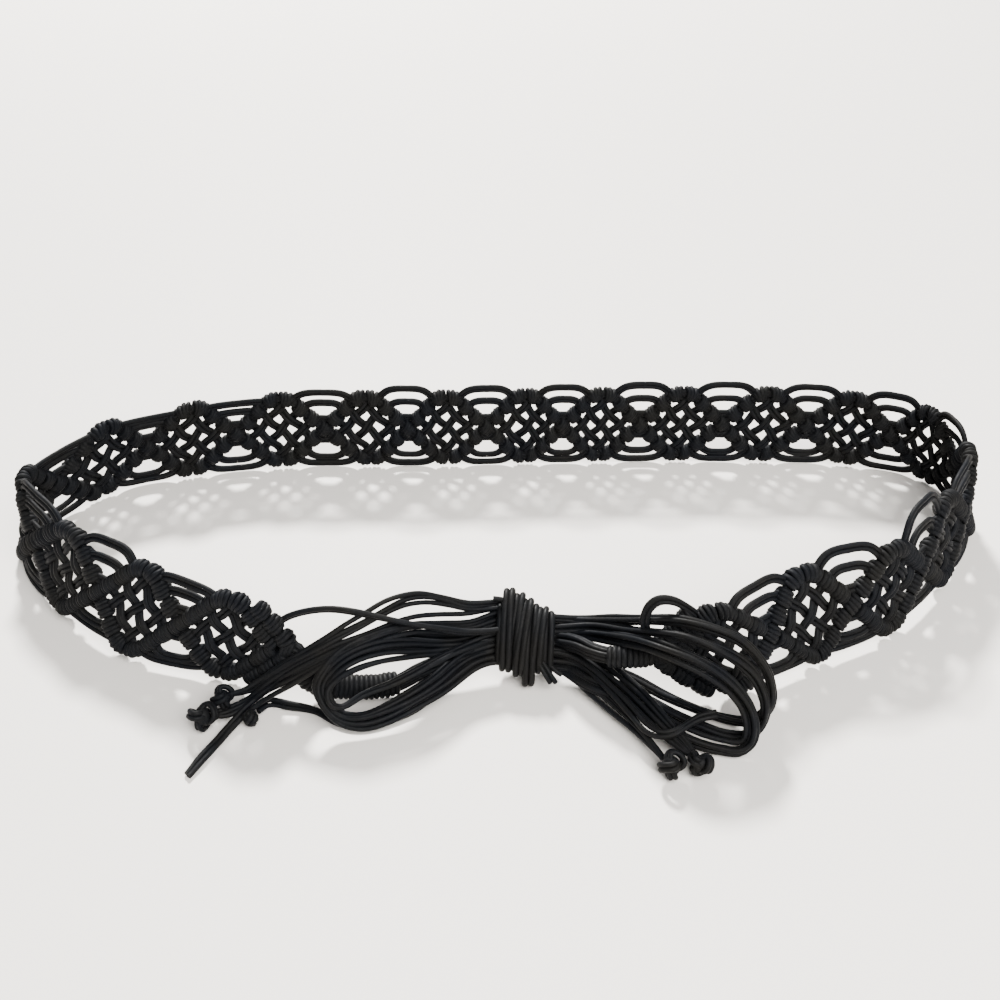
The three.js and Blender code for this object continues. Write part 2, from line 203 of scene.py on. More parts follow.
def waxed_cord(name, dark, brown, roughness):
    """Waxed cotton: nearly black, a little browner in patches, with fine fibres and a soft gloss."""
    material = bpy.data.materials.new(name)
    material.use_nodes = True
    tree = material.node_tree
    shader = tree.nodes["Principled BSDF"]
    place = tree.nodes.new("ShaderNodeTexCoord")
    patches = tree.nodes.new("ShaderNodeTexNoise")
    patches.inputs["Scale"].default_value = 45.0
    patches.inputs["Detail"].default_value = 3.0
    fibres = tree.nodes.new("ShaderNodeTexNoise")
    fibres.inputs["Scale"].default_value = 1500.0
    fibres.inputs["Detail"].default_value = 4.0
    fibres.inputs["Roughness"].default_value = 0.65
    lumps = tree.nodes.new("ShaderNodeTexNoise")
    lumps.inputs["Scale"].default_value = 420.0
    lumps.inputs["Detail"].default_value = 2.0
    colours = tree.nodes.new("ShaderNodeValToRGB")
    colours.color_ramp.elements[0].position = 0.38
    colours.color_ramp.elements[0].color = (*dark, 1)
    colours.color_ramp.elements[1].position = 0.64
    colours.color_ramp.elements[1].color = (*brown, 1)
    speckle = tree.nodes.new("ShaderNodeMix")
    speckle.data_type = "RGBA"
    speckle.blend_type = "MULTIPLY"
    speckle.inputs["Factor"].default_value = 1.0
    shade = tree.nodes.new("ShaderNodeMapRange")
    shade.inputs["From Min"].default_value = 0.3
    shade.inputs["From Max"].default_value = 0.7
    shade.inputs["To Min"].default_value = 0.65
    shade.inputs["To Max"].default_value = 1.35
    gloss = tree.nodes.new("ShaderNodeMapRange")
    gloss.inputs["From Min"].default_value = 0.3
    gloss.inputs["From Max"].default_value = 0.7
    gloss.inputs["To Min"].default_value = roughness - 0.08
    gloss.inputs["To Max"].default_value = roughness + 0.1
    fine = tree.nodes.new("ShaderNodeBump")
    fine.inputs["Strength"].default_value = 0.35
    fine.inputs["Distance"].default_value = 0.00012
    soft = tree.nodes.new("ShaderNodeBump")
    soft.inputs["Strength"].default_value = 0.4
    soft.inputs["Distance"].default_value = 0.0003
    for texture in (patches, fibres, lumps):
        link(tree, place.outputs["Object"], texture.inputs["Vector"])
    link(tree, patches.outputs["Fac"], colours.inputs["Fac"])
    link(tree, fibres.outputs["Fac"], shade.inputs["Value"])
    link(tree, colours.outputs["Color"], speckle.inputs["A"])
    link(tree, shade.outputs["Result"], speckle.inputs["B"])
    link(tree, speckle.outputs["Result"], shader.inputs["Base Color"])
    link(tree, lumps.outputs["Fac"], gloss.inputs["Value"])
    link(tree, gloss.outputs["Result"], shader.inputs["Roughness"])
    link(tree, lumps.outputs["Fac"], soft.inputs["Height"])
    link(tree, fibres.outputs["Fac"], fine.inputs["Height"])
    link(tree, soft.outputs["Normal"], fine.inputs["Normal"])
    link(tree, fine.outputs["Normal"], shader.inputs["Normal"])
    shader.inputs["Specular IOR Level"].default_value = 0.07
    return material


band_cord = waxed_cord("band_cord", (0.0048, 0.0055, 0.0072), (0.0075, 0.0074, 0.0072), 0.58)
tie_cord = waxed_cord("tie_cord", (0.0046, 0.0053, 0.0068), (0.0074, 0.0072, 0.0069), 0.52)

# The ties. Each cord is one smooth line through the bow. A bundle's cords lie a little beside and out
# from the bundle's middle line.
SLOPE = math.sqrt(0.5)
BOW_UP = np.array([0.0, SLOPE, SLOPE])
BOW_OUT = np.array([0.0, -SLOPE, SLOPE])
CENTRE = np.array(HANK_CENTRE)


def face(side, up, out=0.0):
    """Two points through one of the bound middle's ends, the inner one first."""
    points = []
    for far in (HANK_LENGTH / 2 - 5, HANK_LENGTH / 2 + 1):
        points.append(CENTRE + np.array([side * far, 0, 0]) + BOW_UP * up + BOW_OUT * out)
    return points


LEFT_START = [
    (-88, -84.8, 25.8), (-86.4, -85.4, 25.5), (-85, -86.6, 21.8), (-84.6, -87.9, 17.6),
    (-83.2, -88.8, 13.4), (-78, -89.3, 9.2), (-70, -89.5, 7.6), (-60, -89.5, 7.2), (-52, -89, 7.2),
    (-44, -87.6, 8), (-35, -83.5, 10), (-17, -76.5, 13.3),
]
RIGHT_START = [
    (64.5, -88.7, 26), (62, -89, 25.9), (54, -88.6, 24.8), (46, -86, 23.3), (40, -82.4, 22),
    (34, -76.9, 20.6),
]
# The right lobe spreads into three ribbons. Two cords of the left one return inside it.
RIGHT_LOBE_TOP = [
    (40, -64, 23), (53.5, -74.5, 33), (64.5, -85, 42.5), (75, -91, 47.5), (86, -94.5, 47.5),
    (96.5, -96.5, 44), (104, -98, 37.5), (110, -101, 29.5), (112, -105.5, 23),
    (111.5, -109, 19.5), (110.5, -106.5, 9), (106.5, -107, 5), (99.5, -106, 4), (89.5, -103, 4.5),
    (80, -98, 5), (70, -91.5, 5.5), (59.5, -84.5, 6.5), (46.5, -78, 7.5),
]
RIGHT_LOBE_MIDDLE = [
    (39.5, -67, 22.5), (53.5, -79.5, 32), (64, -90.5, 41.5), (76, -97.5, 45), (85.5, -100.5, 43),
    (96, -102, 37.5), (103.5, -104, 31), (107.5, -107, 24.5), (109, -111.5, 19.5),
    (108, -111.5, 7), (102.5, -114, 4), (94, -113, 3.5), (84, -109, 4), (74, -103.5, 5),
    (64.5, -96.5, 6), (48.5, -87, 8),
]
RIGHT_LOBE_INNER = [
    (39.5, -70.5, 20), (54, -86, 31.5), (66, -99, 40), (77.5, -105, 39.5), (88, -108, 34),
    (95.5, -109.5, 27), (101, -112.5, 19.5), (102.5, -117.5, 14.5), (102, -119.5, 7),
    (98, -121, 4.5), (91.5, -119.5, 4), (83, -117, 4.5), (74, -112.5, 5.5), (63.5, -104.5, 6.5),
    (50.5, -95.5, 7.5), (38, -88.5, 8.5),
]
LEFT_LOBE_UPPER = [
    (-13, -71, 16.5), (-26, -75, 17.5), (-38.5, -81, 22.5), (-50.5, -88, 26.5), (-61.5, -94, 27),
    (-69, -98, 24.5), (-73.5, -101.5, 19.5), (-72, -105.5, 14),
]
LEFT_LOBE_LOWER = [
    (-67, -108, 9), (-58.5, -108.5, 7.5), (-49, -105.5, 8), (-38, -99.5, 9.5), (-26.5, -91, 10.5),
    (-13, -79.5, 13),
]
LEFT_LOBE_INNER_RETURN = [
    (-65, -106, 9.5), (-56.5, -101, 12), (-46, -96.5, 14.5), (-36, -90.5, 17),
    (-25.5, -83.5, 18.5), (-13, -76.5, 19.5),
]
# The loose ends, one row of points for each cord, and the pair that runs along the floor to a knot.
LEFT_TAILS = [
    [
        (-13, -62, 31), (-25.5, -64, 37), (-34.5, -66, 41), (-42.5, -70, 43), (-49.5, -74, 43),
        (-56.5, -78.5, 41), (-63, -82.5, 39), (-72, -87.5, 35.5), (-81.5, -90, 30.5),
        (-92, -90.5, 22.5), (-101.5, -91.5, 15), (-109.5, -94.5, 11), (-115, -96, 10),
    ],
    [
        (-13, -63, 29), (-28, -66.5, 35.5), (-40.5, -72, 38.5), (-49.5, -77, 39), (-58, -81.5, 38),
        (-67, -86, 36), (-77.5, -90, 31.5), (-87.5, -91, 25), (-98, -92, 16.5), (-108, -92, 8),
        (-115.5, -95.5, 9),
    ],
    [
        (-13, -65, 27), (-26, -69.5, 30.5), (-37.5, -74.5, 33), (-47.5, -79.5, 34.5),
        (-58, -84.5, 34), (-68, -89, 32.5), (-78.5, -92.5, 28.5), (-89.5, -93, 21), (-100, -93.5, 13),
        (-109.5, -94.5, 5), (-117.5, -99.5, 4.5), (-123.5, -103, 5.5),
    ],
    [
        (-13, -67.5, 24.5), (-26, -72.5, 27.5), (-37.5, -77, 30.5), (-48.5, -82, 32.5),
        (-59.5, -87, 32.5), (-70, -91.5, 30.5), (-80.5, -94, 26.5), (-91, -94.5, 19),
        (-102.5, -91.5, 7), (-110.5, -96.5, 4), (-118, -102, 4.5), (-123, -104.5, 5.5),
    ],
    [
        (-13, -69.5, 22.5), (-26, -74, 26), (-37.5, -79, 28.5), (-48.5, -84, 31), (-59.5, -88.5, 31),
        (-69.5, -93, 29.5), (-80, -95.5, 25), (-90.5, -96, 18), (-101, -94, 8), (-108.5, -99.5, 5),
        (-113.5, -105.5, 3), (-119, -114.5, 1.5), (-124, -124, 1.5), (-127, -131, 1),
    ],
    [
        (-13, -71, 21), (-26, -75.5, 24), (-37.5, -80, 27), (-48.5, -85, 29.5), (-59.5, -90, 29.5),
        (-69.5, -94, 28), (-80, -97, 23.5), (-89.5, -97.5, 16.5), (-99.8, -96.8, 8),
        (-107, -101.1, 5), (-112, -107.1, 3), (-117.4, -116.2, 1.5), (-122.4, -125.7, 1.5),
        (-125.9, -132.2, 1),
    ],
]
FLOOR_PAIR = [
    (-13, -77.5, 10), (-24, -86, 6.5), (-36, -96, 3), (-50, -104, 1.5), (-60, -106, 1.2),
    (-69, -104, 1.5), (-79.5, -98, 1.5), (-90.5, -95.5, 2), (-100, -94.5, 3), (-104, -99, 3.5),
]
RIGHT_TAILS = [
    [
        (33, -72, 15), (44, -77.5, 14), (52.5, -86, 13), (60.5, -96, 12), (67, -105.5, 10.5),
        (73, -114, 8.5), (78, -121.5, 6.5), (80, -127, 5),
    ],
    [
        (33, -74, 14.5), (43, -80, 13.5), (51.5, -88.5, 12), (60, -98, 10.5), (67, -108, 9),
        (73, -116, 7.5), (77.5, -122.5, 6), (80, -128, 5),
    ],
    [
        (33, -75.5, 13), (42, -83, 12.5), (50.5, -91.5, 11.5), (59, -102, 10.5), (66.5, -111.5, 9),
        (73, -119.5, 7), (78.5, -126, 5.5),
    ],
    [
        (33, -79, 10.5), (42, -87.5, 9.5), (49.5, -97.5, 8.5), (56, -107, 7.5), (61, -116.5, 6.5),
        (65.5, -123.5, 5), (67.5, -128, 5),
    ],
    [
        (32.5, -81.5, 8.5), (40.5, -90.5, 7.5), (48.5, -99, 6.5), (55.5, -108.5, 6), (61, -117, 5.5),
        (66, -126, 5),
    ],
    [
        (31.5, -83.5, 6.5), (39, -91.5, 5), (47.5, -101, 4.5), (55, -109, 4), (61, -118, 4.5),
        (66.5, -126.5, 5),
    ],
    [
        (33, -78.5, 13.5), (42, -86.5, 13), (49.5, -96.5, 12), (56.5, -107, 11), (61, -114, 10.5),
        (65.5, -117, 10.5), (71, -116.5, 11), (77, -113, 11.5), (82.5, -109.5, 12), (90, -108, 12.5),
    ],
    [
        (33, -78.5, 12), (41.5, -87.5, 11.5), (49, -98.5, 11), (55.5, -109, 10), (60, -116, 9.5),
        (65, -119, 9.5), (71.5, -118.5, 10), (77.5, -114.5, 11), (83, -111.5, 11.5), (90, -110, 12),
    ],
]
LEFT_STRAND = [
    (-97, -80.5, 33), (-94, -79.4, 36.2), (-90.6, -79, 38.9), (-85, -79, 41.4), (-77, -79.3, 43.4),
    (-69, -80.3, 44.6), (-61, -81.3, 44.4), (-53, -81.2, 42.2), (-40.5, -80.8, 38.2),
    (-27.7, -78.6, 33), (-15.2, -74.8, 26.4), (-6.5, -72.8, 24.6), (-0.8, -71.4, 24.2),
]
# Each knot's middle, half its size, and how far it is turned.
KNOTS = {
    "left_knot_1": ((-125, -105.8, 7.2), 7.2, 0.3),
    "left_knot_2": ((-118.2, -97, 9), 6.2, 1.2),
    "left_knot_3": ((-105.5, -104.5, 4.3), 4.3, 2.1),
    "right_knot_1": ((69, -131, 6.9), 6.9, 0.8),
    "right_knot_2": ((80.8, -129.8, 6.3), 6.3, 2.6),
}

# Where ten cords lie round the middle of their bundle: beside it, and out from it.
TURNED = [i * math.tau / 8 for i in range(8)]
AROUND = [2.4 * np.array([math.cos(turned), math.sin(turned)]) for turned in TURNED]
ROUND = [
    AROUND[4], AROUND[3], AROUND[5], (-0.6, 0), AROUND[2], AROUND[6], (0.6, 0), AROUND[0], AROUND[1],
    AROUND[7],
]
FLAT = [(a, b) for a in (-3.8, -1.9, 0, 1.9, 3.8) for b in (-1.1, 1.1)]


def beside_route(points, across, out):
    """A line across and out from the middle line of a bundle, by amounts that may change along it."""
    points = np.array(points, float)
    forward = unit(np.gradient(points, axis=0))
    side = unit(np.cross(BOW_OUT, forward))
    outward = unit(np.cross(forward, side))
    share = np.linspace(0, 1, len(points))
    across = np.interp(share, np.linspace(0, 1, np.size(across)), np.ravel(across))
    out = np.interp(share, np.linspace(0, 1, np.size(out)), np.ravel(out))
    return points + side * across[:, None] + outward * out[:, None]


def dense(points, step=STEP):
    """Points a step apart on a smooth centripetal line through the control points."""
    points = np.asarray(points, float)
    padded = np.vstack([2 * points[0] - points[1], points, 2 * points[-1] - points[-2]])
    gaps = np.sqrt(np.linalg.norm(np.diff(padded, axis=0), axis=1))
    knots = np.concatenate([[0], np.cumsum(gaps)])
    pieces = []
    for i in range(1, len(padded) - 2):
        a, b, c, d = padded[i - 1 : i + 3]
        ta, tb, tc, td = knots[i - 1 : i + 3]
        t = np.linspace(tb, tc, 12, endpoint=False)[:, None]
        ab = (tb - t) / (tb - ta) * a + (t - ta) / (tb - ta) * b
        bc = (tc - t) / (tc - tb) * b + (t - tb) / (tc - tb) * c
        cd = (td - t) / (td - tc) * c + (t - tc) / (td - tc) * d
        abc = (tc - t) / (tc - ta) * ab + (t - ta) / (tc - ta) * bc
        bcd = (td - t) / (td - tb) * bc + (t - tb) / (td - tb) * cd
        pieces.append((tc - t) / (tc - tb) * abc + (t - tb) / (tc - tb) * bcd)
    line = np.vstack(pieces + [points[-1:]])
    run = np.concatenate([[0], np.cumsum(np.linalg.norm(np.diff(line, axis=0), axis=1))])
    at = np.linspace(0, run[-1], max(int(run[-1] / step), 4) + 1)
    return np.stack([np.interp(at, run, line[:, k]) for k in range(3)], 1)


def cord_piece(name, points):
    """A curve for one cord, kept just above the floor, its exit and its length in metres."""
    line = dense(points)
    rng = np.random.default_rng(sum(name.encode()))
    run = np.arange(len(line)) * STEP
    hold = np.clip(np.minimum(run, run[::-1]) / 30, 0, 1)
    for k in (1, 2):
        wander = np.sin(run * math.tau / rng.uniform(70, 110) + rng.uniform(0, 6))
        wander += 0.6 * np.sin(run * math.tau / rng.uniform(34, 50) + rng.uniform(0, 6))
        line[:, k] += WANDER * wander * hold
    line[:, 2] = np.maximum(line[:, 2], SLACK_CORD / 2 + ABOVE_FLOOR)
    length = np.linalg.norm(np.diff(line, axis=0), axis=1).sum() * METRE
    line = (line - STAND) * METRE
    curve = bpy.data.curves.new(name, "CURVE")
    curve.dimensions = "3D"
    curve.bevel_depth = SLACK_CORD / 2 * METRE
    curve.bevel_resolution = 2
    curve.use_fill_caps = True
    spline = curve.splines.new("POLY")
    spline.points.add(len(line) - 1)
    spline.points.foreach_set("co", np.hstack([line, np.ones((len(line), 1))]).ravel())
    spline.use_smooth = True
    curve.materials.append(tie_cord)
    made = bpy.data.objects.new(name, curve)
    bpy.context.scene.collection.objects.link(made)
    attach(made, "root")
    return made, line[0], length


def knot_piece(name, centre, half, turned_by):
    """An overhand knot drawn tight in a pair of cords."""
    t = np.linspace(0, math.tau, 60, endpoint=False)
    x = np.sin(t) + 2 * np.sin(2 * t)
    y = -1.5 * np.sin(3 * t)
    z = np.cos(t) - 2 * np.cos(2 * t)
    loop = np.stack([x, y, z], 1) * ((half - 1.9 * RADIUS) / 2.75)
    cos, sin = math.cos(turned_by), math.sin(turned_by)
    loop = loop @ np.array([[cos, sin, 0], [-sin, cos, 0], [0, 0, 1.0]])
    step = unit(np.roll(loop, -1, 0) - np.roll(loop, 1, 0))
    side = unit(np.cross(step, unit(loop)))
    build = Build()
    for shift in (-1.05, 1.05):
        line = loop + side * shift + np.array(centre)
        line[:, 2] = np.maximum(line[:, 2], RADIUS + ABOVE_FLOOR)
        build.tubes(line[None], RADIUS * 1.1, 8, True)
    # what fills the knot
    core = np.linspace(-0.4, 0.4, 5)[:, None] * half * np.array([cos, sin, 0]) + np.array(centre)
    build.tubes(core[None], half * np.array([0.35, 0.58, 0.6, 0.58, 0.35]), 10)
    made = build.piece(name + "_tied", tie_cord, "tie_cord")
    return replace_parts(made, name)


knots = {name: knot_piece(name, *where) for name, where in KNOTS.items()}
said = {}


def between(first, second, share=0.5):
    """A row of points part of the way from one row to another, which ends where the first one does."""
    even = np.linspace(0, 1, 13)
    rows = []
    for row in (dense(first), dense(second)):
        old = np.linspace(0, 1, len(row))
        rows.append(np.stack([np.interp(even, old, row[:, k]) for k in range(3)], 1))
    return rows[0] + (rows[1] - rows[0]) * share * (1 - even[:, None] ** 4)


def raised(row, height):
    """A row of points lifted where the ties lie highest beside the bow."""
    row = np.array(row, float)
    bump = height * np.exp(-(((row[:, 0] + 38) / 17) ** 2))
    return row + np.column_stack([0 * bump, 0.6 * bump, 0.8 * bump])


# The left end's cords go through the bow, round its right lobe, and out on the left.
tail = LEFT_TAILS
LEFT_ROUTES = [
    raised(tail[0], 0),
    raised(tail[1], 2.6),
    raised(between(tail[1], tail[2], 0.4), 3),
    raised(tail[2], 1.2),
    raised(tail[3], 2.2),
    raised(between(tail[3], tail[4]), 2.6),
    raised(tail[4], 2.8),
    raised(tail[5], 2.6),
    beside_route(FLOOR_PAIR, -SLACK_CORD / 2, 0),
    beside_route(FLOOR_PAIR, SLACK_CORD / 2, 0),
]
LEFT_KNOTS = ["left_knot_2"] * 3 + ["left_knot_1"] * 3 + [None] * 2 + ["left_knot_3"] * 2
LOBES = [RIGHT_LOBE_TOP] * 3 + [RIGHT_LOBE_MIDDLE] * 3 + [RIGHT_LOBE_INNER] * 4
# Where each cord lies in its ribbon, and how far up the bound middle's ends it goes in and comes out.
LOBE_PLACE = [
    (1.2, -0.8), (0, 1.3), (-1.2, -0.8), (1.2, -0.8), (0, 1.3), (-1.2, -0.8),
    (2.4, 0), (0.9, 1.6), (-0.3, -0.6), (-2.3, 0.4),
]
LOBE_FACE = [11.6, 10.4, 9.2, 8, 6.8, 5.6, 4.6, 3.4, 2.2, 1.0]
LOBE_BACK = [-3.4, -2.2, -1.0, -7, -5.8, -4.6, -12.2, -10.9, -9.6, -8.3]
TAIL_FACE = [17.2, 15.8, 14.6, 13.4, 12.2, 11, 9.8, 8.6, -7.4, -8.8]
for i in range(10):
    out = 1.1 * (-1) ** i
    points = [
        beside_route(LEFT_START + face(-1, -1.8, -1.2)[::-1], *ROUND[i]),
        face(1, LOBE_FACE[i], out),
        beside_route(LOBES[i], *LOBE_PLACE[i]),
        face(1, LOBE_BACK[i], out - 2)[::-1],
        face(-1, TAIL_FACE[i], out),
        LEFT_ROUTES[i],
    ]
    name = f"left_tie_cord_{i + 1}"
    said[name] = (*cord_piece(name, np.vstack(points)), LEFT_KNOTS[i])

# The right end's go the other way: round the left lobe, and out as a fan on the right.
fan = RIGHT_TAILS
RIGHT_ROUTES = [
    fan[0], fan[1], fan[2], between(fan[2], fan[3]), fan[3], between(fan[3], fan[4]), fan[4], fan[5],
    fan[6], fan[7],
]
RIGHT_KNOTS = ["right_knot_2"] * 4 + ["right_knot_1"] * 4 + [None] * 2
FAN_FACE = [-0.5, -2, -3.6, -7.6, -8.8, -10, -11.2, -12.4, -5, -6.4]
for i in range(10):
    across, out = FLAT[i]
    inside = i > 7
    layer = 1.1 * (-1) ** i
    back = LEFT_LOBE_INNER_RETURN if inside else LEFT_LOBE_LOWER
    turned = 1.8 + 0.9 * (i - 8) if inside else (i - 3.5) * 0.68
    fold = 3.6 - 1.6 * (i - 8) if inside else 1.1 * layer
    lower = (i - 8.5) * 2.2 if inside else (i - 3.5) * 1.4
    back_up = 2.2 + (i - 8.5) * 2.2 if inside else -4.6 + (i - 3.5) * 1.5
    points = [
        beside_route(RIGHT_START + face(1, 0.6, -1.2)[::-1], *ROUND[i]),
        face(-1, 5.2 - 1.1 * across, out),
        beside_route(LEFT_LOBE_UPPER, [across, 1.45 * across - 2.5, turned], [out, out, fold]),
        beside_route(back, [turned, lower], [fold, layer]),
        face(-1, back_up, 2.4 if inside else layer)[::-1],
        face(1, FAN_FACE[i], layer + (1.5 if inside else 0)),
        RIGHT_ROUTES[i],
    ]
    name = f"right_tie_cord_{i + 1}"
    said[name] = (*cord_piece(name, np.vstack(points)), RIGHT_KNOTS[i])

for number, shift in ((1, (0, 0, 0)), (2, (0, 0.9, -1.8))):
    name = f"left_slack_cord_{number}"
    said[name] = (*cord_piece(name, np.array(LEFT_STRAND) + np.array(shift)), "object")
with_knots = {name: [] for name in said}
for knot in KNOTS:
    first = next(name for name, row in said.items() if row[3] == knot)
    with_knots[first] = [knots[knot]]
for name, (piece, exit_point, length, knot) in said.items():
    far_end = "bare" if knot is None else "object" if knot == "object" else "knot"
    if far_end == "knot" and not with_knots[name]:
        far_end = "object"
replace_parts(said["left_tie_cord_1"][0], "hank_right_lobe", "left_tie_gather", "left_tie_lead")
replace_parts(said["left_tie_cord_7"][0], "left_bare_end")
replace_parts(said["left_tie_cord_4"][0], "left_tails")
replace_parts(said["right_tie_cord_1"][0], "hank_left_lobe", "right_tie_lead", "hank_core")
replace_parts(said["right_tie_cord_4"][0], "right_tail_1")
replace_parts(said["right_tie_cord_2"][0], "right_tail_2")
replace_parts(said["right_tie_cord_9"][0], "right_bare_end")
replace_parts(said["left_slack_cord_1"][0], "left_tie_strand")

# The turns that bind the bow: where each is at its top and at its foot, along the bow and up it, and how
# proud of its neighbours it stands.
TURNS = [
    (-10.2, 15.4, -10.8, -9.2, -0.4),
    (-7.2, 22.4, -9.4, -11.8, 1.3),
    (-2.6, 20.2, -6.6, -12.2, 0.6),
    (1.0, 17.6, -3.4, -14.4, 1.9),
    (3.4, 15.2, 0.8, -18.6, 0.6),
    (7.8, 13.9, 3.8, -13.4, 1.9),
    (10.0, 12.2, 9.2, -12.6, -0.3),
]


def bow_point(x, up, out):
    across = np.multiply.outer(x, [1.0, 0, 0])
    return CENTRE + across + np.multiply.outer(up, BOW_UP) + np.multiply.outer(out, BOW_OUT)


build = Build()
turn = np.linspace(0, math.tau, 72, endpoint=False)
rng = np.random.default_rng(5)
for x_top, top, x_foot, foot, proud in TURNS:
    for beside in (-1.3, 1.3):
        cos, sin = np.cos(turn), np.sin(turn)
        tall = np.sign(cos) * np.abs(cos) ** 0.85
        deep = np.sign(sin) * np.abs(sin) ** 0.85
        share = (tall + 1) / 2
        up = foot + (top - foot) * share + rng.uniform(-0.3, 0.3)
        x = x_foot + (x_top - x_foot) * share**1.5 + beside + rng.uniform(-0.25, 0.25) * np.sin(2 * turn)
        depth = 4.7 + RADIUS + proud + 0.3 * beside
        build.tubes(bow_point(x, up, depth * deep)[None], SLACK_CORD * 0.62, 10, True)
# cut ends that stick out of the turns
for path in (
    [(-8, 17.5, 4), (-12, 18.4, 4.4), (-14.5, 18.6, 4.6)],
    [(5, -9, 6), (8.5, -15, 6), (10.4, -18, 4.5)],
    [(7, -9, 5), (10.5, -14.5, 5), (12.8, -18, 3.5)],
    [(9, -9, 4), (13, -13, 4), (15.4, -14.5, 3.5)],
):
    build.tubes(bow_point(*dense(path, 1.0).T)[None], SLACK_CORD / 2, 8)
# the cords inside the turns, as slanted rods
for left, right in ((14.5, 8), (9.5, 3.5), (4.5, -1.5), (-0.5, -6), (-5, -9.5)):
    rod = bow_point(np.linspace(-11.5, 11.5, 9), np.linspace(left, right, 9), np.zeros(9))
    build.tubes(rod[None], 4.2, 10)
binding = build.piece("bow_binding_turns", tie_cord, "tie_cord")
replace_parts(binding, "hank_binding")


def barrel(name, route, radius, node):
    """Cord wrapped closely round gathered ties."""
    line = dense(route, CORD * 0.98)
    forward = unit(np.gradient(line, axis=0))
    side = unit(np.cross(forward, np.array([0.0, 0.3, 1.0])))
    other = np.cross(forward, side)
    turn = np.linspace(0, math.tau, 26, endpoint=False)
    rng = np.random.default_rng(len(line))
    size = (radius - RADIUS) * (1 + rng.uniform(-0.03, 0.03, len(line)))
    size[[0, -1]] *= 0.93
    circle = np.cos(turn)[:, None] * side[:, None] + np.sin(turn)[:, None] * other[:, None]
    tilt = forward[:, None] * (0.5 * np.cos(turn + 0.6))[:, None]
    build = Build()
    rings = line[:, None] + size[:, None, None] * circle + tilt
    build.tubes(rings, RADIUS * 1.25, 8, True, outward=circle)
    build.tubes(line[None], radius - CORD * 0.8, 12)
    made = build.piece(name, tie_cord, "tie_cord")
    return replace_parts(made, node)


LEFT_BARREL = [
    (-84.3, -88.4, 15.8), (-83.2, -88.8, 13.4), (-78, -89.3, 9.2), (-70, -89.5, 7.6),
    (-60, -89.5, 7.2), (-52, -89, 7.2), (-45.3, -87.8, 7.9),
]
RIGHT_BARREL = [(47, -86.8, 23.1), (54, -88.6, 24.8), (63.2, -88.8, 25.9)]
barrel("left_wrapped_gathering", LEFT_BARREL, 5.3, "left_tie_wrap")
barrel("right_wrapped_gathering", RIGHT_BARREL, 4.7, "right_tie_wrap")

# One arm of a diamond's ridge: its middle from a crossing to the diamond's top, beside and above the
# crossing.
ARM = np.array([
    (0, 0), (3.0, 3.1), (6.0, 6.3), (9.2, 9.9), (12.2, 13.4), (15.2, 16.7), (18.4, 19.1), (21, 20.1),
    (PITCH / 2, 20.3),
])
fine_arm = smooth_line(ARM, np.linspace(0, 1, 400))
ARM_RUN = np.concatenate([[0], np.cumsum(np.linalg.norm(np.diff(fine_arm, axis=0), axis=1))])
ARM_LENGTH = ARM_RUN[-1]
KNOT_LENGTH = ARM_LENGTH / 3.5  # half a knot at the crossing, then three whole ones
KNOT_AT = [KNOT_LENGTH * number for number in (1, 2, 3)]
KNOT_TURNS = (-3.15, -1.07, 1.07, 3.15)  # along the row from the knot's middle
TURN_REACH = 3.1  # from the row's middle to the middle of a turn's cord
WRAP_POINTS = 20
RIB = 1.38  # half a turn's cord, pressed a little into its neighbours
WEAVE_APART = 1.2  # half the distance between the cords of a woven pair
ARC_APART = 1.12


def along_line(line, run, at):
    """Place and direction at distances along a flat line."""
    def place(where):
        return np.stack([np.interp(where, run, line[:, k]) for k in range(2)], -1)

    return place(at), unit(place(at + 0.4) - place(at - 0.4))


def knot_wraps(rng, line, run, centres, firsts):
    """The turns of a row of knots, flat: even ribs outside, drawn into one bead a knot inside."""
    gap, centre, near, lump, lean, proud = [], [], [], [], [], []
    for at, first in zip(centres, firsts):
        tilt, size, slip = rng.uniform(-0.1, 0.1), rng.uniform(-0.14, 0.14), rng.uniform(-0.2, 0.2)
        halves = rng.uniform(-0.1, 0.1, 2), rng.uniform(-0.1, 0.1, 2)
        for k, offset in list(enumerate(KNOT_TURNS))[first:]:
            gap.append(offset + 0.12 * (k == 0) - 0.12 * (k == 3) + rng.uniform(-0.1, 0.1))
            centre.append(at + slip)
            near.append(1 - (abs(offset) / 4.4) ** 2)
            lump.append(size + halves[0][k // 2])
            lean.append(0.1 + tilt + 0.5 * halves[1][k // 2])
            proud.append(rng.uniform(-0.06, 0.06) - 0.32 * (k in (0, 3)))
    lists = (gap, centre, near, lump, lean, proud)
    gap, centre, near, lump, lean, proud = (np.array(values)[:, None] for values in lists)
    place, along = along_line(line, run, (centre + gap)[:, 0])
    across = np.stack([-along[:, 1], along[:, 0]], -1)
    turn = np.linspace(0, math.tau, WRAP_POINTS, endpoint=False)[None]
    cos, sin = np.cos(turn), np.sin(turn)
    inner = np.clip(sin, 0, 1) ** 0.7
    size = TURN_REACH + lump + proud
    beside = size * np.sign(cos) * np.abs(cos) ** 0.85 * (1 + 0.1 * inner * near)
    through = (size - 0.5) * sin * (1 + inner * (0.28 * near - 0.16))
    shift = -gap * 0.42 * inner + lean * beside
    flat = place[:, None] + along[:, None] * shift[..., None] + across[:, None] * beside[..., None]
    rings = np.concatenate([flat, through[..., None]], -1)
    out = across[:, None] * cos[..., None]
    outward = np.concatenate([out, np.broadcast_to(sin[..., None], out.shape[:2] + (1,))], -1)
    return rings, outward


def mirrored(points, x, y):
    return points * np.array([x, y, 1.0])


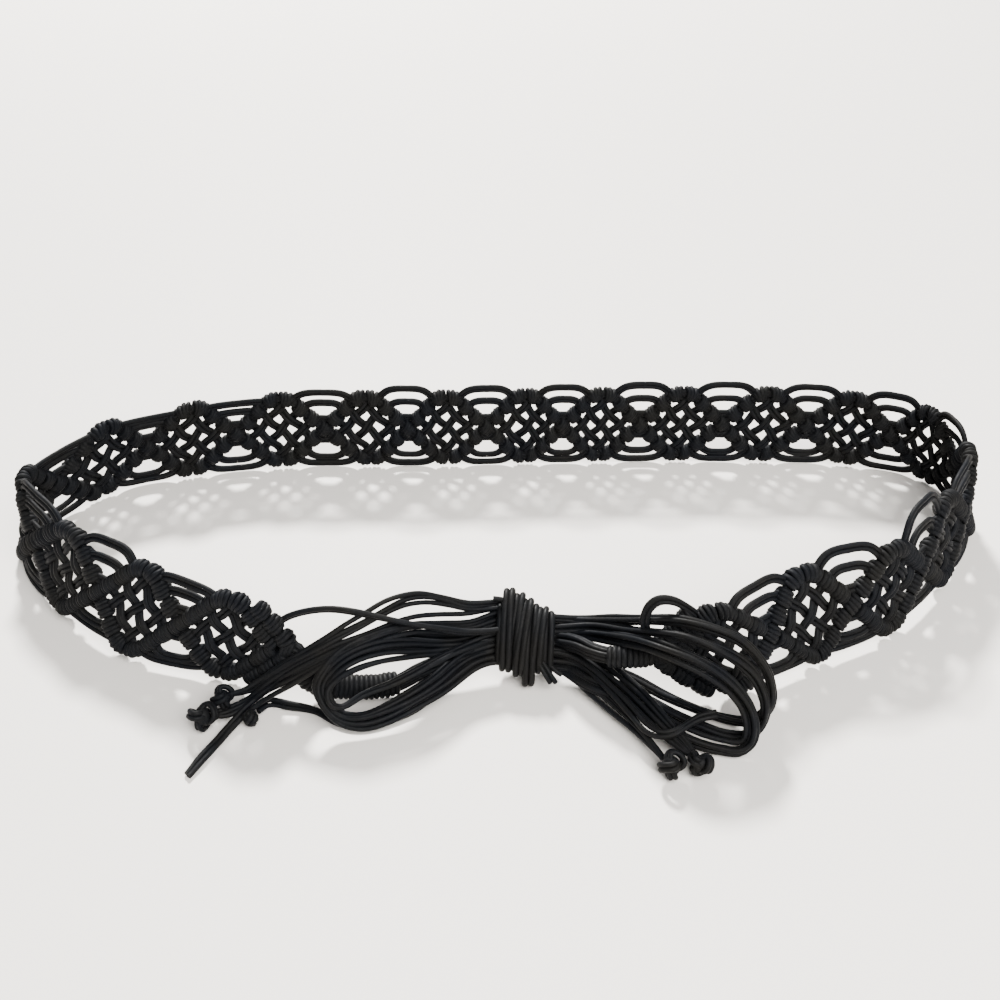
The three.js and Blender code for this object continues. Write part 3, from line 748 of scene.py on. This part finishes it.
def pair(line, twist, apart=1.02):
    """Two cords side by side along flat lines, turned by twist out of the band's plane."""
    forward = unit(np.gradient(line, axis=0))
    across = unit(np.column_stack([-forward[:, 1], forward[:, 0], np.zeros(len(line))]))
    depth = np.cross(forward, across)
    twist = np.broadcast_to(twist, len(line))[:, None]
    side = np.cos(twist) * across + np.sin(twist) * depth
    return [line - side * apart, line + side * apart]


# The bridging arcs over a crossing: half of each, from its knot to above the crossing's middle.
ARCS = [
    [(5.4, 5.8), (4.4, 6.4), (3.2, 6.8), (1.7, 7.0), (0, 7.0)],
    [(12.0, 12.8), (9.9, 14.1), (7.7, 15.9), (4.5, 16.9), (0, 17.1)],
    [(18.0, 18.6), (15.8, 19.6), (13.4, 21.8), (10.6, 23.7), (7.2, 24.7), (3.5, 25.0), (0, 25.0)],
]
# Arcs that are pulled tight or stand away from the band: crossing, side and arc, then how much further
# from the crossing they rise and how far through the band they lean.
TIGHT_OR_PROUD = {
    (1, 1, 2): (-3.6, -0.5), (1, 1, 1): (-1.8, -0.5), (1, -1, 2): (-2.2, 0), (1, -1, 1): (-0.5, 0),
    (2, 1, 2): (0.6, 0), (2, -1, 2): (-5.0, 0), (2, -1, 1): (-2.5, 0),
    (4, 1, 2): (-6.0, 0), (4, 1, 1): (-2.5, 0), (5, 1, 2): (-6.5, 0), (5, 1, 1): (-3.0, 0),
    (6, 1, 2): (-6.0, 0), (6, 1, 1): (-2.5, 0), (7, 1, 2): (-2.0, 0),
    (17, 1, 2): (7.5, 1.0), (17, 1, 1): (4.0, 0.5), (17, -1, 2): (-4.5, 0), (17, -1, 1): (-2.0, 0),
    (18, 1, 2): (2.0, 0), (18, 1, 1): (1.0, 0), (18, -1, 2): (-3.5, 0), (18, -1, 1): (-1.5, 0),
    (19, -1, 2): (-3.5, 0),
}


def half_arc(crossing, up, which):
    """Half an arc as a flat line beside the crossing, a little uneven, and the turn of its pair."""
    rng = np.random.default_rng(7000 + 100 * crossing + 10 * (up + 1) + which)
    line = np.array(ARCS[which], float)
    share = (line[:, 1] - line[0, 1]) / (line[-1, 1] - line[0, 1])
    rise = rng.uniform(-0.5, 0.4)
    if up < 0 and which == 1:
        rise += rng.uniform(0, 2.6)
    if up < 0 and which == 2:
        rise = min(rise, 0) - 1.7  # clear of the floor
    depth = rng.uniform(-0.4, 0.4)
    more, away = TIGHT_OR_PROUD.get((crossing, up, which), (0, 0))
    line[:, 1] += (rise + more) * share
    flat = np.column_stack([line, (depth + away) * share**2])
    twist = -up * (0.3 if which == 0 else rng.uniform(0.0, 0.5))
    points = smooth_line(flat, np.linspace(0, 1, 18))
    return points, np.linspace(0.05, 1, 18) ** 0.7 * twist


def diamond_piece(station):
    rng = np.random.default_rng(100 + station)
    build = Build()
    half = PITCH / 2
    for side in (-1, 1):
        for up in (-1, 1):
            runs_through = side * up > 0
            at_end = (station == 1 and side < 0) or (station == LAST - 1 and side > 0)
            centres = ([0.0] if runs_through or at_end else []) + KNOT_AT
            firsts = ([2] if runs_through or at_end else []) + [0, 0, 0]
            rings, outward = knot_wraps(rng, fine_arm, ARM_RUN, centres, firsts)
            rings = mirrored(rings, -side, up) + np.array([side * half, 0, 0])
            build.tubes(rings, RIB, 7, True, outward=mirrored(outward, -side, up))
            core = smooth_line(ARM, np.linspace(0, 1, 26))
            step = unit(np.gradient(core, axis=0))
            for beside in (-0.9, 0.9):
                line = core + np.column_stack([-step[:, 1], step[:, 0]]) * beside
                line = mirrored(np.column_stack([line, np.zeros(len(line))]), -side, up)
                build.tubes((line + np.array([side * half, 0, 0]))[None], 1.45, 7)
    # woven pairs
    share = np.linspace(-0.03, 1.03, 29)
    for family in (1, -1):
        for i in range(3):
            start, _ = along_line(fine_arm, ARM_RUN, KNOT_AT[i] + rng.uniform(-0.6, 0.6))
            far, _ = along_line(fine_arm, ARM_RUN, KNOT_AT[2 - i] + rng.uniform(-0.6, 0.6))
            a = np.array([start[0] - half, -family * start[1]])
            b = np.array([half - far[0], family * far[1]])
            line = a + (b - a) * share[:, None]
            direction = unit(b - a)
            wave = rng.uniform(-0.7, 0.7) * np.sin(math.pi * share) + 0.35 * np.sin(math.tau * 2 * share)
            line += np.array([-direction[1], direction[0]]) * wave[:, None]
            over = family * (-1) ** i * 1.08 * np.cos(math.pi * (4 * share - 1))
            for cord in pair(np.column_stack([line, over]), rng.uniform(-0.2, 0.2), WEAVE_APART):
                build.tubes(cord[None], RADIUS * 1.2, 7)
    # arcs
    for side in (-1, 1):
        crossing = station if side > 0 else station - 1
        if crossing in (0, LAST - 1):
            continue
        for up in (1, -1):
            for which in (0, 1, 2):
                line, twist = half_arc(crossing, up, which)
                for cord in pair(line, twist, ARC_APART):
                    cord = mirrored(cord, -side, up) + np.array([side * half, 0, 0])
                    build.tubes(cord[None], RADIUS * 1.14, 7)
    if station == LAST - 1:
        # the loop that stands up beside the right end
        loop = [
            (9, 19.5, 0), (12.5, 23, 0), (18, 26.5, 0.3), (25, 27, 0.3), (30, 24, 0), (33, 18, 0),
            (33.5, 10, 0),
        ]
        for cord in pair(dense(loop, 1.5), 0.2):
            build.tubes(cord[None], RADIUS * 1.14, 7)
    name = f"band_diamond_{station:02d}"
    made = build.piece(name + "_knotted", band_cord, "band_cord", lambda p: on_band(station, p))
    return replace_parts(made, name)


def end_piece(side, station, node):
    """The second row of knots that closes an end, with the turns at its tip."""
    rng = np.random.default_rng(300 + station)
    build = Build()
    half = PITCH / 2
    fine = fine_arm[ARM_RUN < 22]
    step = unit(np.gradient(fine, axis=0))
    away = np.interp(np.linspace(0, 1, len(fine)), [0, 0.55, 1], [6.6, 6.4, 5.0])
    row = fine + np.column_stack([step[:, 1], -step[:, 0]]) * -away[:, None]
    row = row[row[:, 1] > 0.6]
    row = np.vstack([[-TIP_LENGTH + 1.8, 0.6], row])
    run = np.concatenate([[0], np.cumsum(np.linalg.norm(np.diff(row, axis=0), axis=1))])
    centres = np.arange(0.5, run[-1] / KNOT_LENGTH - 0.3) * KNOT_LENGTH
    for up in (-1, 1):
        rings, outward = knot_wraps(rng, row, run, centres, [0] * len(centres))
        rings = mirrored(rings, -side, up) + np.array([side * half, 0, 0])
        build.tubes(rings, RIB, 7, True, outward=mirrored(outward, -side, up))
        core = np.column_stack([row[::8], np.zeros(len(row[::8]))])
        core = mirrored(core, -side, up) + np.array([side * half, 0, 0])
        build.tubes(core[None], 2.0, 8)
    turn = np.linspace(0, math.tau, WRAP_POINTS, endpoint=False)
    for i, at in enumerate((4.4, 6.2, 8.0)):
        size = 3.9 - 0.5 * i
        along = np.full(WRAP_POINTS, at) + 0.5 * np.cos(turn)
        ring = np.column_stack([along, size * np.cos(turn), 2.6 * np.sin(turn)])
        build.tubes((ring * np.array([side, 1, 1]) + np.array([side * half, 0, 0]))[None], RIB, 7, True)
    name = "left_end_rows" if side < 0 else "right_end_rows"
    made = build.piece(name, band_cord, "band_cord", lambda p: on_band(station, p))
    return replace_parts(made, node)


for station in range(1, LAST):
    diamond_piece(station)
end_piece(-1, 1, "left_end_ridges")
end_piece(1, LAST - 1, "right_end_ridges")


# Floor and light
def plain(name, colour, roughness):
    material = bpy.data.materials.new(name)
    material.use_nodes = True
    shader = material.node_tree.nodes["Principled BSDF"]
    shader.inputs["Base Color"].default_value = (*colour, 1)
    shader.inputs["Roughness"].default_value = roughness
    shader.inputs["Specular IOR Level"].default_value = 0.1
    return material


floor_mesh = bpy.data.meshes.new("floor")
floor_mesh.from_pydata([(-4, -4, 0), (4, -4, 0), (4, 6, 0), (-4, 6, 0)], [], [(0, 1, 2, 3)])
floor_mesh.materials.append(plain("floor", (0.815, 0.783, 0.742), 0.5))
floor = bpy.data.objects.new("floor", floor_mesh)
bpy.context.scene.collection.objects.link(floor)


def area_light(name, place, aim, size, power, colour):
    data = bpy.data.lights.new(name, "AREA")
    data.shape = "DISK"
    data.size = size
    data.energy = power
    data.color = colour
    lamp = bpy.data.objects.new(name, data)
    lamp.location = place
    direction = np.array(aim, float) - np.array(place, float)
    flat = math.hypot(direction[0], direction[1])
    tipped = math.atan2(flat, -direction[2])
    turned = math.atan2(direction[1], direction[0]) - math.pi / 2
    lamp.rotation_euler = (tipped, 0, turned)
    bpy.context.scene.collection.objects.link(lamp)


area_light("key", (-0.44, 2.6, 2.44), (0, 0, 0), 0.5, 560.0, (1.0, 0.985, 0.96))
area_light("fill", (0.5, -0.85, 1.15), (0.15, -0.3, 0), 1.3, 50.0, (1.0, 0.98, 0.95))
world = bpy.data.worlds.new("world")
world.use_nodes = True
world.node_tree.nodes["Background"].inputs["Color"].default_value = (0.98, 0.99, 1.0, 1)
world.node_tree.nodes["Background"].inputs["Strength"].default_value = 0.42
bpy.context.scene.world = world
